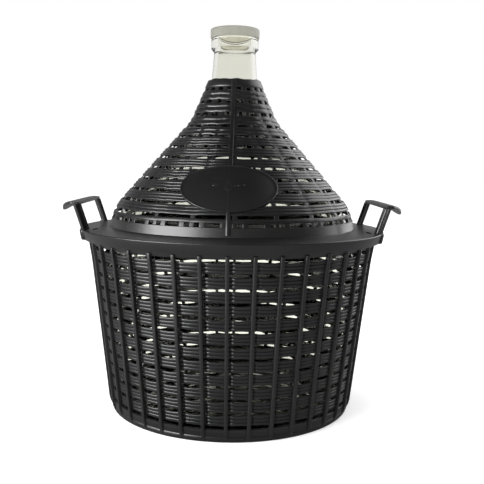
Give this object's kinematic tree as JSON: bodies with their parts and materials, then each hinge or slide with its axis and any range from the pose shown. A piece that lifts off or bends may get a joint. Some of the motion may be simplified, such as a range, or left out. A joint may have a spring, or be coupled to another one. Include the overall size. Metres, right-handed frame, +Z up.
{
  "type": "demijohn in a basket",
  "caption": "Round-shouldered clear glass carboy with a push-on cap, standing in a slotted plastic basket under a conical cover with side handles.",
  "frame": {"origin": "middle of the basket's foot, on the surface it stands on", "axes": "+Z up through the neck, -Y to the front with the oval plate, -X and +X to the two handles"},
  "size_m": [0.3904, 0.3492, 0.4323],
  "materials": {
    "clear_glass": "clear, faint olive tint at the edges",
    "cap_plastic": "translucent natural polyethylene",
    "basket_plastic": "moulded black polyethylene, semi-gloss",
    "cover_plastic": "moulded black polyethylene, semi-gloss",
    "handle_plastic": "moulded black polyethylene, semi-gloss"
  },
  "bodies": {
    "basket": {"basket": "basket_plastic"},
    "carboy": {"glass_carboy": "clear_glass"},
    "cover": {"shoulder_cover": "cover_plastic", "left_handle": "handle_plastic", "right_handle": "handle_plastic"},
    "cap": {"neck_cap": "cap_plastic"}
  },
  "joints": [
    {"name": "carboy_lift", "type": "slide", "parent": "basket", "child": "carboy", "axis": [0, 0, 1], "range_m": [0, 0.205]},
    {"name": "cover_lift", "type": "slide", "parent": "carboy", "child": "cover", "axis": [0, 0, 1], "range_m": [0, 0.245]},
    {"name": "cap_pull", "type": "slide", "parent": "carboy", "child": "cap", "axis": [0, 0, 1], "range_m": [0, 0.04]}
  ]
}
